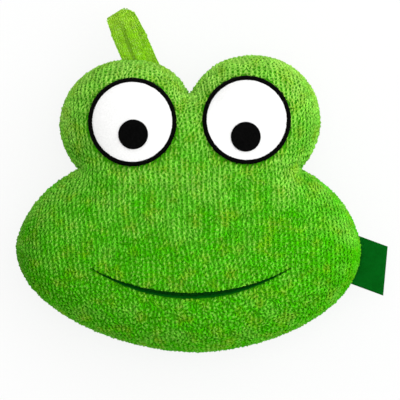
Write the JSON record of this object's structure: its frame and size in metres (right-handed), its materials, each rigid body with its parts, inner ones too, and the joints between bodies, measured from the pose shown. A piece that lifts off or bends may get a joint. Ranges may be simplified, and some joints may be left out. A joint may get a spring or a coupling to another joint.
{
  "type": "bath sponge toy",
  "caption": "Soft frog-head bath sponge: terry panels sewn over a foam core, flat sewn-on eyes and smile, a hanging loop on top and a folded side tag.",
  "frame": {"origin": "middle of the flat patch on the back that the head lies on", "axes": "+Z out of the face, +Y towards the top of the head, +X towards the side with the tag"},
  "size_m": [0.1507, 0.1399, 0.0533],
  "materials": {
    "terry_green": "matte",
    "loop_green": "matte",
    "tag_green": "satin",
    "thread_green": "satin",
    "foam": "matte",
    "patch_white": "matte",
    "stitch_black": "satin",
    "stitch_green": "satin"
  },
  "bodies": {
    "back": {"back_cover": "terry_green", "foam_core": "foam", "seam_needle_thread": "thread_green", "seam_bobbin_thread": "thread_green", "loop_tail": "loop_green", "tag_tail": "tag_green"},
    "face": {"front_cover": "terry_green", "mouth_line": "stitch_green", "left_eye_white": "patch_white", "left_eye_ring": "stitch_black", "left_pupil": "stitch_black", "right_eye_white": "patch_white", "right_eye_ring": "stitch_black", "right_pupil": "stitch_black"},
    "loop": {"hanging_loop": "loop_green"},
    "tag": {"side_tag": "tag_green"}
  },
  "joints": [
    {"name": "squeeze", "type": "slide", "parent": "back", "child": "face", "axis": [0, 0, -1], "range_m": [0, 0.016], "stiffness_N_per_m": 600, "deforming": ["front_cover", "foam_core"]},
    {"name": "loop_fold", "type": "hinge", "parent": "back", "child": "loop", "pos_m": [-0.02098, 0.06811, 0.024], "axis": [0.9984, -0.0558, 0], "range_deg": [-75, 75], "stiffness_Nm_per_rad": 0.0004},
    {"name": "tag_fold", "type": "hinge", "parent": "back", "child": "tag", "pos_m": [0.0707, -0.01618, 0.024], "axis": [-0.0919, -0.9958, 0], "range_deg": [-80, 80], "stiffness_Nm_per_rad": 0.0002}
  ]
}
